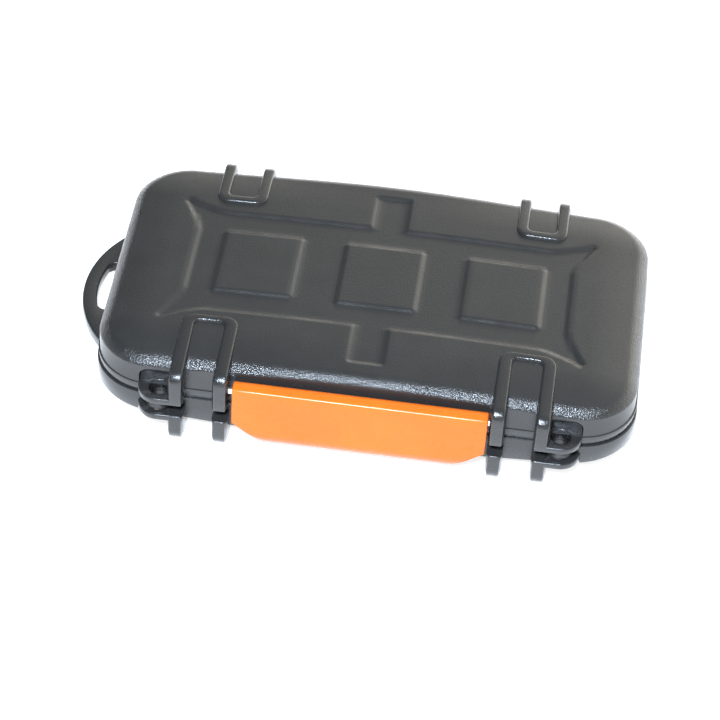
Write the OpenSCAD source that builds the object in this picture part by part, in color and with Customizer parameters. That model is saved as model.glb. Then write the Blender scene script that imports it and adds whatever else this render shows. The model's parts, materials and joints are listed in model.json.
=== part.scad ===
// Memory card case: two crowned clamshell halves on two pin hinges, closed by a
// snap latch in front, with a soft card insert in each half and a sealing ring
// between them. Millimetres, +Z up. The origin is on the surface the case
// stands on, under the middle of the case; the latch faces -Y.

/* [Case] */
// Length of the case walls, left to right
case_l = 120; // [116:1:126]
// Depth of the case walls, front to rear
case_w = 68; // [67:0.5:72]
// Radius of the four corners in plan
corner_r = 12.8; // [11:0.2:15]
// Height of the lid's middle above the table
top_z = 21.6; // [21:0.1:25]
// Height of the seam between lid and base
seam_z = 9.5; // [9:0.1:10]
// Wall thickness of the floor and the lid's roof
skin_t = 2.0; // [1.6:0.1:2.2]
// Wall thickness round the sides, wide enough for the seal
wall_t = 3.4; // [3.2:0.1:4]

/* [Crown] */
// Drop of the roof at the ends, in mm for each square mm along the length
crown_x = 0.001; // [0.0006:0.0001:0.0012]
// Drop of the roof at front and rear, in mm for each square mm of depth
crown_y = 0.0006; // [0.0004:0.0001:0.0008]
// Width of the rounded band between the wall and the roof
edge_w = 3; // [2:0.25:4]
// Radius of that rounded band
edge_r = 4.1; // [4:0.1:6]

/* [Raised pattern] */
// Depth of the sunk panel in the roof and the underside
panel_depth = 0.6; // [0.3:0.1:0.8]
// Length of the sunk panel
panel_l = 86; // [80:1:90]
// Width of the sunk panel
panel_w = 33.4; // [30:0.2:36]
// Size of each raised block in the panel
block_size = [17.9, 20.4];
// Distance between the raised blocks
block_pitch = 27.9; // [24:0.1:30]
// Width and length of the notch across the panel's middle
notch_size = [7.6, 56.4];

/* [Clip frames] */
// Distance of each frame's middle from the middle of the case
frame_x = 35.35; // [34:0.05:37]
// Width over a frame's two legs at the front
frame_w = 13.3; // [12:0.1:14]
// Width of each front leg
leg_w = 3.5; // [3:0.1:4]
// Height of the frames above the roof
frame_h = 1; // [0.6:0.1:1.2]
// How far the front legs stand out from the wall
post_out = 5.1; // [4.9:0.1:5.6]
// Radius of the bend where a front leg turns down
bend_r = 3; // [2:0.25:3.5]
// Height of the lid legs' lower ends
lid_leg_z = 11.4; // [11:0.1:12]
// Height of the base legs' upper ends
base_leg_z = 8.3; // [7.8:0.1:8.6]

/* [Corner lugs] */
// Distance of each lug's middle from the middle of the case
lug_x = 44.4; // [44:0.1:46]
// Radius of the hole through both lugs
lug_hole_r = 2.2; // [1.8:0.1:2.4]
// Thickness of each lug
lug_t = 1.6; // [1.4:0.1:1.8]

/* [Hinges] */
// Radius of the hinge pins
pin_r = 0.8; // [0.7:0.05:0.9]
// Running clearance round a pin, on the radius
pin_gap = 0.06; // [0.04:0.01:0.1]
// Radius of the hinge knuckles
knuckle_r = 2.35; // [2.2:0.05:2.5]
// Distance of the hinge axis behind the middle of the case
hinge_y = 37.2; // [37.1:0.1:38]
// Width over a rear frame's two arms
arm_span = 12.3; // [12:0.1:13]
// Width of each rear arm
arm_w = 3.2; // [3:0.1:3.4]

/* [Latch] */
// Half the latch's length
latch_half = 28.2; // [28:0.1:28.4]
// Distance of the latch's pin in front of the middle of the case
latch_y = 36.6; // [36.5:0.05:36.8]
// Height of the latch's pin
latch_z = 16; // [15.8:0.1:16.2]
// Radius of the latch's barrel
barrel_r = 2.2; // [2:0.05:2.25]
// Thickness of the latch's plate
plate_t = 1.6; // [1.4:0.1:1.8]
// Radius of the latch's pin
latch_pin_r = 0.75; // [0.6:0.05:0.8]

/* [Lanyard loop] */
// How far the loop reaches to the left of the middle of the case
loop_reach = 68; // [66:0.5:70]
// Radius of the loop's outer edge
loop_r = 28.2; // [26:0.2:30]
// Width of the loop's rim
loop_rim = 3.4; // [3:0.1:3.6]
// Length of the slot for the lanyard
slot_l = 16; // [12:0.5:18]
// Thickness of the loop
loop_t = 2.8; // [2.4:0.1:3]

/* [Card inserts] */
// Large card pocket: width, length and depth
big_pocket = [24.6, 32.6, 2.4];
// Small card pocket: width, length and depth
small_pocket = [11.4, 15.4, 1.4];
// Distance between large pockets
big_pitch = 27.6; // [27:0.1:28]
// Distance between small pockets
small_pitch = 13.8; // [13:0.1:14]

/* [Hidden] */

// Flats in the rounded band
edge_steps = 4;

// The underside has the roof's crown, turned over, and its blocks end on the table
belly_z = 0.6;
seam_gap = 0.2;
lid_low = seam_z + seam_gap / 2;
base_high = seam_z - seam_gap / 2;

// The lid's lower band stands out from its wall, and the base's rim from the band
band_out = 0.4;
band_top = 12;
rim_out = 0.6;

// Sealing ring, its groove in the lid and the tongue on the base that presses on it
groove_in = [1.8, 2.9];
groove_h = 1.6;
ring_gap = 0.05;
ring_h = 1.1;
tongue_in = [2.05, 2.65];
tongue_h = 0.65;

// Front and rear faces of the case walls
wall_y = case_w / 2;
wall_x = case_l / 2;

// Frames: the hole in each front frame starts behind its closed end
front_frame_y = [-wall_y - post_out, -19.6];
front_hole_y = -23.3;
rear_frame_y = [18.4, wall_y + post_out + 2];
rear_hole_y = 22.2;
rear_out = 3.9;
rear_bend_r = 4.6;
frame_corner_r = 3.2;
hole_corner_r = 0.9;
foot_bend_r = 4;

// The panel's arms towards the corners of the case: where each starts and its end
arm_start = [38.5, 11];
arm_end = [[48.6, 18], [45.2, 22.8]];

// Lugs
lug_y = -34.4;
lug_r = post_out + wall_y + lug_y;
lug_hole_y = -35;
lug_top = lid_leg_z + lug_t;
niche_r = lug_r + 0.3;
niche_top = 17;
niche_y = -32.5;
boss_r = 2.9;
boss_low = base_leg_z + 0.4;

// Hinge knuckles
arm_x = [frame_x - 0.4 - arm_span / 2, frame_x - 0.4 + arm_span / 2];
mid_gap = 0.3;
mid_x = [arm_x[0] + arm_w + mid_gap, arm_x[1] - arm_w - mid_gap];

// Latch: flat top with a brow in front, plate, hooked lip and the ledge that it holds
brow_r = 0.7;
plate_front = latch_y + barrel_r;
plate_back = plate_front - plate_t;
plate_bend_z = 6;
latch_low = 3;
lip_back = 35.3;
lip_top = 4.1;
ledge_low = 4.3;
ledge_high = 6.4;
ledge_out = 36.5;
ledge_half = 25;
chamfer_x = 22;
chamfer_z = 5.8;
thumb_steps = 5;

// Inserts
insert_in = wall_t + 0.3;
insert_gap = 0.05;
insert_base_top = seam_z - 0.7;
insert_lid_low = seam_z + 0.7;
big_y = -9.9;
small_y = 18.1;
big_count = 4;
small_count = 8;
notch_r = 5;
small_notch_r = 3.2;
notch_deeper = 0.8;

black = [0.13, 0.13, 0.13];
orange = [0.93, 0.42, 0.08];
steel = [0.75, 0.75, 0.77];
grey = [0.3, 0.3, 0.31];

/* Crowned surfaces */

function roof_drop(x, y) = crown_x * x * x + crown_y * y * y;
function edge_drop(d) = edge_r - sqrt(edge_r * edge_r - d * d);

corner_mid = [wall_x - corner_r, wall_y - corner_r];
crown_r = 1 / (2 * crown_x);
crown_half = 48;
tube_t = 40;

// Section of a crowned roof from rear to front, as [height over the middle, y]
function roof_line(half) = [for (k = [3:-1:-3]) let (y = half * k / 3) [-crown_y * y * y, y]];
function edge_line(side) =
    [for (k = [1:edge_steps]) let (d = edge_w * k / edge_steps, y = wall_y - edge_w + d)
        [-crown_y * y * y - edge_drop(d), side * y]];
// The turn from the roof to an upright face at y = side * out
function bend_line(side, out, r) =
    [for (a = [75:-15:0]) let (y0 = out - r)
        [-crown_y * y0 * y0 - r * (1 - sin(a)), side * (y0 + r * cos(a))]];
function backwards(list) = [for (k = [len(list) - 1:-1:0]) list[k]];

// Everything below a roof whose middle is at height z: the section is turned
// about a far axis along Y, which crowns it along the case
module under_roof(z, section) {
    ends = [section[0].y, section[len(section) - 1].y];
    translate([0, 0, z - crown_r])
        rotate([-90, 0, 0])
            rotate([0, 0, -100])
                rotate_extrude(angle = 20, $fn = 720)
                    polygon(concat(
                        [[crown_r - tube_t, ends[0]]],
                        [for (q = section) [crown_r + q.x, q.y]],
                        [[crown_r - tube_t, ends[1]]]
                    ));
}

shell_section = concat(
    [[-5, crown_half]],
    backwards(edge_line(1)),
    roof_line(wall_y - edge_w),
    edge_line(-1),
    [[-5, -crown_half]]
);
inner_section = concat(
    [[-crown_y * crown_half * crown_half, crown_half]],
    roof_line(wall_y - edge_w),
    [[-crown_y * crown_half * crown_half, -crown_half]]
);

// What rounds the roof's edge at the two ends and the four corners
module end_cut(z) {
    x0 = wall_x - edge_w;
    rotate([90, 0, 0])
        translate([0, 0, -wall_y])
            linear_extrude(case_w)
                polygon(concat(
                    [[x0 - 0.6, z + 9], [x0 - 0.6, z - roof_drop(x0, 0) + 0.12]],
                    [for (k = [1:edge_steps]) let (d = edge_w * k / edge_steps)
                        [x0 + d, z - roof_drop(x0 + d, 0) - edge_drop(d)]],
                    [[wall_x + 2, z - roof_drop(wall_x, 0) - edge_drop(edge_w)], [wall_x + 2, z + 9]]
                ));
}

module corner_cut(z) {
    slope = [atan(2 * crown_x * corner_mid.x), atan(2 * crown_y * corner_mid.y)];
    r0 = corner_r - edge_w;
    difference() {
        translate([corner_mid.x, corner_mid.y, z - 12]) cube([30, 30, 20]);
        translate([corner_mid.x, corner_mid.y, z - roof_drop(corner_mid.x, corner_mid.y)])
            rotate([-slope.y, slope.x, 0])
                rotate_extrude($fn = 96)
                    polygon(concat(
                        [[0, -30], [corner_r + 30, -30], [corner_r + 30, -edge_drop(edge_w)]],
                        [for (k = [edge_steps:-1:1]) let (d = edge_w * k / edge_steps)
                            [r0 + d, -edge_drop(d)]],
                        [[r0 - 0.5, 0.14], [0, 3]]
                    ));
    }
}

// Half of the case's outside, from its low plane up to the crowned roof
module crowned(z) {
    difference() {
        intersection() {
            children();
            under_roof(z, shell_section);
        }
        both_ends() {
            end_cut(z);
            corner_cut(z);
            mirror([0, 1, 0]) corner_cut(z);
        }
    }
}

// The plan as an exact rounded plate, moved in by inset
module plate(inset, z0, z1) {
    translate([0, 0, z0])
        linear_extrude(z1 - z0)
            union() {
                square([case_l - 2 * corner_r, case_w - 2 * inset], center = true);
                square([case_l - 2 * inset, case_w - 2 * corner_r], center = true);
                for (sx = [-1, 1], sy = [-1, 1])
                    translate([sx * corner_mid.x, sy * corner_mid.y])
                        circle(corner_r - inset, $fn = 64);
            }
}

// The space under the roof that is inset from the walls and depth below the roof
module hollow(inset, depth, z0, z) {
    intersection() {
        plate(inset, z0, z);
        under_roof(z - depth, inner_section);
    }
}

module upside_down() {
    mirror([0, 0, 1]) children();
}

module both_ends() {
    children();
    mirror([1, 0, 0]) children();
}

// A bar along X with the section that its children draw in Y and Z
module bar_x(x0, x1) {
    translate([x0, 0, 0])
        rotate([90, 0, 90])
            linear_extrude(x1 - x0)
                children();
}

module bore_x(r, x0, x1, y, z) {
    translate([x0, y, z])
        rotate([0, 90, 0])
            cylinder(h = x1 - x0, r = r, $fn = 48);
}

/* Outer bodies of the two halves */

module lid_body() {
    crowned(top_z)
        union() {
            plate(0, lid_low + 1, top_z + 1);
            plate(-band_out, lid_low, band_top);
        }
}

module base_body() {
    upside_down()
        crowned(-belly_z)
            plate(-rim_out, -base_high, 1);
}

// What the lid's frames are cut from: its roof raised and moved out, with a
// rounder edge, so that every leg turns over the edge in one sweep
module lid_armour() {
    under_roof(top_z + frame_h, concat(
        [[-tube_t + 10, wall_y + rear_out]],
        backwards(bend_line(1, wall_y + rear_out, rear_bend_r)),
        roof_line(wall_y - 2),
        bend_line(-1, wall_y + post_out, bend_r),
        [[-tube_t + 10, -wall_y - post_out]]
    ));
}

// The same for the base, with a flat underside for the feet
module base_armour() {
    front = -wall_y - post_out;
    bar_x(-wall_x, wall_x)
        union() {
            translate([front + foot_bend_r, foot_bend_r]) circle(foot_bend_r, $fn = 48);
            translate([front, foot_bend_r]) square([foot_bend_r * 2, base_leg_z - foot_bend_r]);
            translate([front + foot_bend_r, 0]) square([wall_y * 2, base_leg_z]);
        }
}

/* Frames */

module round_box(x, y, r) {
    translate([x[0], y[0]])
        union() {
            translate([r, 0]) square([x[1] - x[0] - 2 * r, y[1] - y[0]]);
            translate([0, r]) square([x[1] - x[0], y[1] - y[0] - 2 * r]);
            for (px = [r, x[1] - x[0] - r], py = [r, y[1] - y[0] - r])
                translate([px, py]) circle(r, $fn = 32);
        }
}

module front_frame_plan() {
    x = [frame_x - frame_w / 2, frame_x + frame_w / 2];
    far = front_frame_y[0] - 10;
    difference() {
        round_box(x, [far, front_frame_y[1]], frame_corner_r);
        round_box([x[0] + leg_w, x[1] - leg_w], [far - 1, front_hole_y], hole_corner_r);
    }
}

module rear_frame_plan() {
    far = rear_frame_y[1] + 10;
    difference() {
        round_box(arm_x, [rear_frame_y[0], far], frame_corner_r);
        round_box([arm_x[0] + arm_w, arm_x[1] - arm_w], [rear_hole_y, far + 1], hole_corner_r);
    }
}

module lid_frames() {
    intersection() {
        lid_armour();
        both_ends() {
            translate([0, 0, lid_leg_z]) linear_extrude(20) front_frame_plan();
            translate([0, 0, lid_low]) linear_extrude(20) rear_frame_plan();
        }
    }
}

module base_frames() {
    intersection() {
        base_armour();
        both_ends() {
            translate([0, 0, -1]) linear_extrude(20) front_frame_plan();
            translate([0, 0, -1]) linear_extrude(20) rear_frame_plan();
        }
    }
}

/* Pattern: a sunk panel with arms to the corners and notches in the middle */

module panel_plan() {
    half = [panel_l / 2, panel_w / 2];
    square([panel_l, panel_w], center = true);
    square(notch_size, center = true);
    for (sx = [-1, 1], sy = [-1, 1])
        scale([sx, sy])
            polygon([
                [half.x - 1, arm_start.y - 2],
                [half.x, arm_start.y],
                arm_end[0],
                arm_end[1],
                [arm_start.x, half.y],
                [arm_start.x - 2, half.y - 1]
            ]);
}

module blocks_plan() {
    for (k = [-1:1])
        translate([k * block_pitch, 0])
            square(block_size, center = true);
}

// Everything above the roof lowered by panel_depth, inside the panel's outline
module roof_sink() {
    difference() {
        translate([0, 0, seam_z + 5]) linear_extrude(20) difference() {
            panel_plan();
            blocks_plan();
        }
        under_roof(top_z - panel_depth, inner_section);
    }
}

module belly_sink() {
    upside_down()
        difference() {
            translate([0, 0, -seam_z + 3]) linear_extrude(seam_z) panel_plan();
            under_roof(-belly_z - panel_depth, inner_section);
        }
}

/* Lugs at the front corners */

module lug_plan() {
    translate([lug_x, lug_y]) circle(lug_r, $fn = 64);
    translate([frame_x + frame_w / 2 - 0.5, lug_y - lug_r])
        square([lug_x - frame_x - frame_w / 2 + 0.5, lug_r + 1.5]);
}

module lug(z0) {
    translate([0, 0, z0]) linear_extrude(lug_t) lug_plan();
}

// Sleeve under the lid's lug that reaches down to the base's lug
module lug_boss() {
    difference() {
        translate([lug_x, lug_hole_y, boss_low])
            cylinder(h = lid_leg_z - boss_low + 0.2, r = boss_r, $fn = 64);
        translate([lug_x - 5, -wall_y - rim_out - 0.2, boss_low - 1])
            cube([10, 10, lid_low - boss_low + 1]);
    }
}

// Hollow in the wall that leaves room above and below the two lugs' hole
module lug_niche(z0, z1) {
    translate([0, 0, z0])
        linear_extrude(z1 - z0)
            intersection() {
                translate([lug_x, lug_y]) circle(niche_r, $fn = 64);
                translate([frame_x + frame_w / 2, lug_y - niche_r])
                    square([niche_r * 2, niche_y - lug_y + niche_r]);
            }
}

module lug_holes() {
    both_ends()
        translate([lug_x, lug_hole_y, 0])
            cylinder(h = lug_top + 0.5, r = lug_hole_r, $fn = 64);
}

/* Lanyard loop on the left end */

module loop_plan() {
    mid_x = loop_r - loop_reach;
    slot_r = loop_r - loop_rim;
    difference() {
        intersection() {
            translate([mid_x, 0]) circle(loop_r, $fn = 160);
            translate([-loop_reach - 1, -30]) square([loop_reach - wall_x + 2, 60]);
        }
        intersection() {
            translate([mid_x, 0]) circle(slot_r, $fn = 160);
            translate([-loop_reach, -slot_l / 2])
                square([loop_reach - wall_x - rim_out, slot_l]);
        }
    }
}

/* Shells */

module lid_shell() {
    color(black)
        difference() {
            union() {
                difference() {
                    lid_body();
                    roof_sink();
                }
                lid_frames();
                both_ends() {
                    for (x = [arm_x[0], arm_x[1] - arm_w])
                        bore_x(knuckle_r, x, x + arm_w, hinge_y, seam_z);
                    lug(lid_leg_z);
                    lug_boss();
                }
            }
            hollow(wall_t, skin_t + panel_depth, 0, top_z);
            difference() {
                plate(groove_in[0], lid_low - 1, lid_low + groove_h);
                plate(groove_in[1], lid_low - 2, lid_low + groove_h + 1);
            }
            lug_holes();
            both_ends() {
                lug_niche(lug_top, niche_top);
                bore_x(pin_r + pin_gap, arm_x[0] - 1, arm_x[1] + 1, hinge_y, seam_z);
                bore_x(latch_pin_r, frame_x - frame_w / 2 - 1, frame_x, -latch_y, latch_z);
                bore_x(latch_pin_r + pin_gap, frame_x, frame_x + frame_w / 2 + 1, -latch_y, latch_z);
            }
        }
}

module base_shell() {
    color(black)
        difference() {
            union() {
                difference() {
                    base_body();
                    belly_sink();
                    both_ends() lug_niche(-1, base_leg_z - lug_t + 0.5);
                }
                base_frames();
                linear_extrude(3) blocks_plan();
                translate([-ledge_half, -ledge_out, ledge_low])
                    cube([2 * ledge_half, ledge_out - wall_y + 1, ledge_high - ledge_low]);
                translate([0, 0, base_high - loop_t]) linear_extrude(loop_t) loop_plan();
                difference() {
                    plate(tongue_in[0], base_high - 1, base_high + tongue_h);
                    plate(tongue_in[1], base_high - 2, base_high + tongue_h + 1);
                }
                both_ends() {
                    lug(base_leg_z - lug_t);
                    hinge_mid();
                }
            }
            upside_down() hollow(wall_t, skin_t + panel_depth, -seam_z - 3, -belly_z);
            lug_holes();
            both_ends()
                bore_x(pin_r, mid_x[0] - 1, mid_x[1] + 1, hinge_y, seam_z);
        }
}

// Base knuckle with the web that carries it
module hinge_mid() {
    bore_x(knuckle_r, mid_x[0], mid_x[1], hinge_y, seam_z);
    bar_x(mid_x[0], mid_x[1])
        polygon([[wall_y - 1, 3], [wall_y + 0.6, 3], [hinge_y + knuckle_r * 0.94, seam_z - knuckle_r * 0.34],
                 [hinge_y, seam_z], [hinge_y - knuckle_r * 0.9, base_high], [wall_y - 1, base_high]]);
}

module hinge_pin() {
    color(steel) bore_x(pin_r, arm_x[0] + 0.1, arm_x[1] - 0.1, hinge_y, seam_z);
}

module hinge_pin_right() { hinge_pin(); }
module hinge_pin_left() { mirror([1, 0, 0]) hinge_pin(); }

/* Latch */

module latch_section() {
    brow = [-plate_front + brow_r, latch_z + barrel_r - brow_r];
    union() {
        translate([-latch_y, latch_z]) circle(barrel_r, $fn = 64);
        translate(brow) circle(brow_r, $fn = 48);
        translate([brow.x, latch_z]) square([-latch_y - brow.x, barrel_r]);
        polygon(concat(
            [[-plate_back, brow.y], [-plate_front, brow.y], [-plate_front, plate_bend_z]],
            [for (k = [1:thumb_steps]) let (t = k / thumb_steps)
                [-plate_front + 0.9 * t * t, plate_bend_z - (plate_bend_z - latch_low) * t]],
            [[-lip_back, latch_low], [-lip_back, lip_top - 0.3], [-lip_back - 0.3, lip_top],
             [-plate_back, lip_top]]
        ));
    }
}

module latch_face() {
    polygon([[-latch_half, 30], [-latch_half, chamfer_z], [-chamfer_x, latch_low - 0.1],
             [chamfer_x, latch_low - 0.1], [latch_half, chamfer_z], [latch_half, 30]]);
}

module latch() {
    color(orange)
        difference() {
            intersection() {
                bar_x(-latch_half, latch_half) latch_section();
                rotate([90, 0, 0]) linear_extrude(60) latch_face();
            }
            bore_x(latch_pin_r + pin_gap, -latch_half - 1, latch_half + 1, -latch_y, latch_z);
        }
}

module latch_pin() {
    color(steel) bore_x(latch_pin_r, -frame_x + 3.4, frame_x - 3.4, -latch_y, latch_z);
}

/* Soft parts */

module seal_ring() {
    z = lid_low + groove_h - ring_h;
    color(grey)
        difference() {
            plate(groove_in[0] + ring_gap, z, z + ring_h - ring_gap);
            plate(groove_in[1] - ring_gap, z - 1, z + ring_h + 1);
        }
}

// Pockets that open upwards from the face at z = 0, each with a finger notch
module pockets() {
    for (k = [0:big_count - 1])
        translate([(k - (big_count - 1) / 2) * big_pitch, big_y, -big_pocket.z]) {
            translate([-big_pocket.x / 2, -big_pocket.y / 2, 0]) cube([big_pocket.x, big_pocket.y, 10]);
            translate([0, big_pocket.y / 2 - 1.2, -notch_deeper]) cylinder(h = 10, r = notch_r, $fn = 48);
        }
    for (k = [0:small_count - 1])
        translate([(k - (small_count - 1) / 2) * small_pitch, small_y, -small_pocket.z]) {
            translate([-small_pocket.x / 2, -small_pocket.y / 2, 0]) cube([small_pocket.x, small_pocket.y, 10]);
            translate([0, small_pocket.y / 2 - 0.6, -notch_deeper]) cylinder(h = 10, r = small_notch_r, $fn = 48);
        }
}

module base_insert() {
    color(grey)
        difference() {
            upside_down()
                hollow(insert_in, skin_t + panel_depth + insert_gap, -insert_base_top, -belly_z);
            translate([0, 0, insert_base_top]) pockets();
        }
}

module lid_insert() {
    color(grey)
        difference() {
            hollow(insert_in, skin_t + panel_depth + insert_gap, insert_lid_low, top_z);
            translate([0, 0, insert_lid_low]) upside_down() pockets();
        }
}

base_shell();
base_insert();
hinge_pin_left();
hinge_pin_right();
lid_shell();
lid_insert();
seal_ring();
latch_pin();
latch();
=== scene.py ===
# %% [markdown]
# # A pocket case for memory cards
# The real object is a small clamshell of black moulded plastic: a crowned lid with a sunk
# panel, four clip frames that turn over its edges, a base with a lanyard loop, an orange
# latch on a steel pin, and soft inserts for the cards. The CAD part already has every piece
# at its real size and on its real hinge. This lesson dresses it: each moulding is made
# again with the small roundings that catch the light, in the same frame as the CAD.
# The CAD part is loaded first, because every piece is placed by it and rides on its bodies.

# %% Load the CAD part
import json
import math

import bmesh
import bpy
import numpy as np
from mathutils import Matrix, Vector

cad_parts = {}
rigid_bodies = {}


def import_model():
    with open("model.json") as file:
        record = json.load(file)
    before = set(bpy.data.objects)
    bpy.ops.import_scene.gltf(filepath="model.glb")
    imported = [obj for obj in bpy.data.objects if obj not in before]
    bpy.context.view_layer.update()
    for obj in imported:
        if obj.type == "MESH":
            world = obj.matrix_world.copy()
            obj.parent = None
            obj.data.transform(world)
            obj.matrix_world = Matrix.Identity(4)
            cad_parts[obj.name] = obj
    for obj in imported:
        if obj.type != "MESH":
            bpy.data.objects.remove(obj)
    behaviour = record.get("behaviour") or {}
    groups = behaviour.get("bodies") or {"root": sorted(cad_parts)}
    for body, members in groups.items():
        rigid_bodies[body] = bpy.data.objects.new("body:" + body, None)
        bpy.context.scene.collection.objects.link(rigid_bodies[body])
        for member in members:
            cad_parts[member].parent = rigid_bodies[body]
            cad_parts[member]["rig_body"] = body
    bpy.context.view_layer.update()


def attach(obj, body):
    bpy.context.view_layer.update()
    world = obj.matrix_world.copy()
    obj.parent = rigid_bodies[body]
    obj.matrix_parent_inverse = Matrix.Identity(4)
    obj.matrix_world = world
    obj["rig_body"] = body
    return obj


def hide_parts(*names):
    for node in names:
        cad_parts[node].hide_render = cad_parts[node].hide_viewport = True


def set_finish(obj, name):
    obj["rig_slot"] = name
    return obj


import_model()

# %% [markdown]
# ## Camera
# A photographer would look down at the case from its front, a little to the right, with a
# long lens, so that the far edge stays nearly as long as the near one. The camera could be
# aimed with a constraint; here its three axes are written as turns about Z, X and Y, because
# a small roll of the picture is part of the photograph's framing.

# %% Camera
MM = 0.001
YAW, PITCH, ROLL = 0.080, -0.75, -0.068
CAMERA_AT = (35.0, -478.6, 442.9)
LENS, SENSOR = 141.32, 36


def turn(angle, axis):
    return Matrix.Rotation(angle, 3, axis)


aim = turn(YAW, "Z") @ turn(PITCH, "X") @ turn(ROLL, "Y")
right, ahead, up = aim.col[0], aim.col[1], aim.col[2]
camera_data = bpy.data.cameras.new("camera")
camera_data.sensor_width = SENSOR
camera_data.lens = LENS
camera_data.clip_start = 0.01
camera_data.clip_end = 20
camera = bpy.data.objects.new("camera", camera_data)
bpy.context.scene.collection.objects.link(camera)
turned = Matrix((right, up, -ahead)).transposed().to_4x4()
camera.matrix_world = Matrix.Translation([value * MM for value in CAMERA_AT]) @ turned
bpy.context.scene.camera = camera
print("camera stands", round(camera.matrix_world.translation.length, 3), "m from the case")

# %% [markdown]
# ## From points to a moulding
# Every moulding here is a closed skin of points. A cube with modifiers could stand in for
# the simplest ones, but the edges of moulded plastic have measured roundings, so each piece
# is laid out as rings of points and woven together with four-sided faces. `make` turns them
# into a mesh, welds the points that coincide, marks the crisp edges, and tells the part
# which body the piece rides on. It counts the open edges, which should be none.

# %% Weaving rings into a mesh
WELD = 2e-7


def weave(rings, capped=False, finish=0):
    """Points and faces of a skin through rings that all have the same number of points."""
    rings = [np.asarray(ring, float) for ring in rings]
    count = len(rings[0])
    faces = []
    for row in range(len(rings) - 1):
        for k in range(count):
            a, b = row * count + k, row * count + (k + 1) % count
            faces.append((a, b, b + count, a + count))
    if capped:
        faces.append(tuple(range(count)))
        faces.append(tuple(range((len(rings) - 1) * count, len(rings) * count)))
    return np.concatenate(rings), faces, finish


def make(name, skins, finishes, body, slot, crisp=32):
    """A piece from its skins, which are in millimetres, riding on a body of the part."""
    points, faces, marks = [], [], []
    for skin_points, skin_faces, finish in skins:
        shift = len(points)
        points.extend((skin_points * MM).tolist())
        faces.extend(tuple(k + shift for k in face) for face in skin_faces)
        marks.extend([finish] * len(skin_faces))
    mesh = bpy.data.meshes.new(name)
    mesh.from_pydata(points, [], faces)
    mesh.polygons.foreach_set("material_index", marks)
    work = bmesh.new()
    work.from_mesh(mesh)
    bmesh.ops.remove_doubles(work, verts=work.verts, dist=WELD)
    bmesh.ops.dissolve_degenerate(work, edges=work.edges, dist=WELD)
    bmesh.ops.recalc_face_normals(work, faces=work.faces)
    open_edges = sum(not edge.is_manifold for edge in work.edges)
    work.to_mesh(mesh)
    work.free()
    for finish in finishes:
        mesh.materials.append(finish)
    mesh.shade_smooth()
    mesh.set_sharp_from_angle(angle=math.radians(crisp))
    piece = bpy.data.objects.new(name, mesh)
    bpy.context.scene.collection.objects.link(piece)
    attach(piece, body)
    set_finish(piece, slot)
    print(f"{name}: {len(mesh.vertices)} points, {open_edges} open edges")
    return piece


def quarter(radius, steps=4):
    """A rounded edge, as (in from the side, down from the top), from the side to the top."""
    turns = [math.pi / 2 * k / steps for k in range(steps + 1)]
    return [(radius * (1 - math.cos(a)), radius * (1 - math.sin(a))) for a in turns]


# %% [markdown]
# ## Black moulded plastic
# The plastic has three skins. The roof is spark-eroded in the mould, so it is matt, and its
# fine grain glitters where the edge bends towards the lamp. The walls are smooth, and the
# frames and lugs are a little glossier, over a grain as deep as the roof's. All are one
# recipe: a nearly black colour with faint clouds, a roughness that varies a little, a grain
# in the bump, paler worn edges, and a few specks of dust. A plain dark colour would look
# like a hole in the picture, because almost all that is seen of a black thing is its gloss.

# %% Helpers for the finishes


def node(tree, kind, **settings):
    made = tree.nodes.new(kind)
    for key, value in settings.items():
        if key in made.inputs:
            made.inputs[key].default_value = value
        else:
            setattr(made, key, value)
    return made


def spread(tree, source, low, high, to_low, to_high):
    """The source's range low to high, mapped to another range."""
    made = node(tree, "ShaderNodeMapRange")
    numbers = {"From Min": low, "From Max": high, "To Min": to_low, "To Max": to_high}
    for socket, value in numbers.items():
        made.inputs[socket].default_value = value
    tree.links.new(source, made.inputs["Value"])
    return made.outputs["Result"]


def reckoned(tree, operation, *terms):
    """What an operation makes of its terms, which are sockets or plain numbers."""
    made = node(tree, "ShaderNodeMath", operation=operation)
    for socket, term in zip(made.inputs, terms):
        if isinstance(term, float):
            socket.default_value = term
        else:
            tree.links.new(term, socket)
    return made.outputs["Value"]


def split(tree, vector):
    """The X, Y and Z of a vector, by name."""
    made = node(tree, "ShaderNodeSeparateXYZ")
    tree.links.new(vector, made.inputs["Vector"])
    return made.outputs


def noise(tree, place, **settings):
    made = node(tree, "ShaderNodeTexNoise", **settings)
    tree.links.new(place, made.inputs["Vector"])
    return made.outputs["Fac"]


def speckle(tree, place, scale, size):
    """1 in a few small round specks, and 0 elsewhere."""
    cells = node(tree, "ShaderNodeTexVoronoi", Scale=scale, feature="F1")
    tree.links.new(place, cells.inputs["Vector"])
    dot = spread(tree, cells.outputs["Distance"], size * 0.6, size, 1, 0)
    few = node(tree, "ShaderNodeSeparateColor")
    tree.links.new(cells.outputs["Color"], few.inputs["Color"])
    return reckoned(tree, "MULTIPLY", dot, spread(tree, few.outputs["Red"], 0.72, 0.78, 0, 1))


# %% [markdown]
# ### The recipe
# Dust and wear could be painted by hand, but every piece would have to be unwrapped first.
# Here they are read from the shape itself: dust is the middle of a few Voronoi cells, wear
# is where the surface bends outwards, and the glitter is kept to the low bends of the roof
# by their height and their direction.

# %% Recipe for moulded plastic
LEVEL, STEEP, BEND_TOP, BEND_LOW = 0.96, 0.86, 0.0211, 0.0203
SHARPER, DEEPER, CLOUDS, SMEARS, SPECKS, SPECK = 0.15, 1.7, 90.0, 240.0, 170.0, 0.022
DUST = (0.6, 0.6, 0.58)


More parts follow.
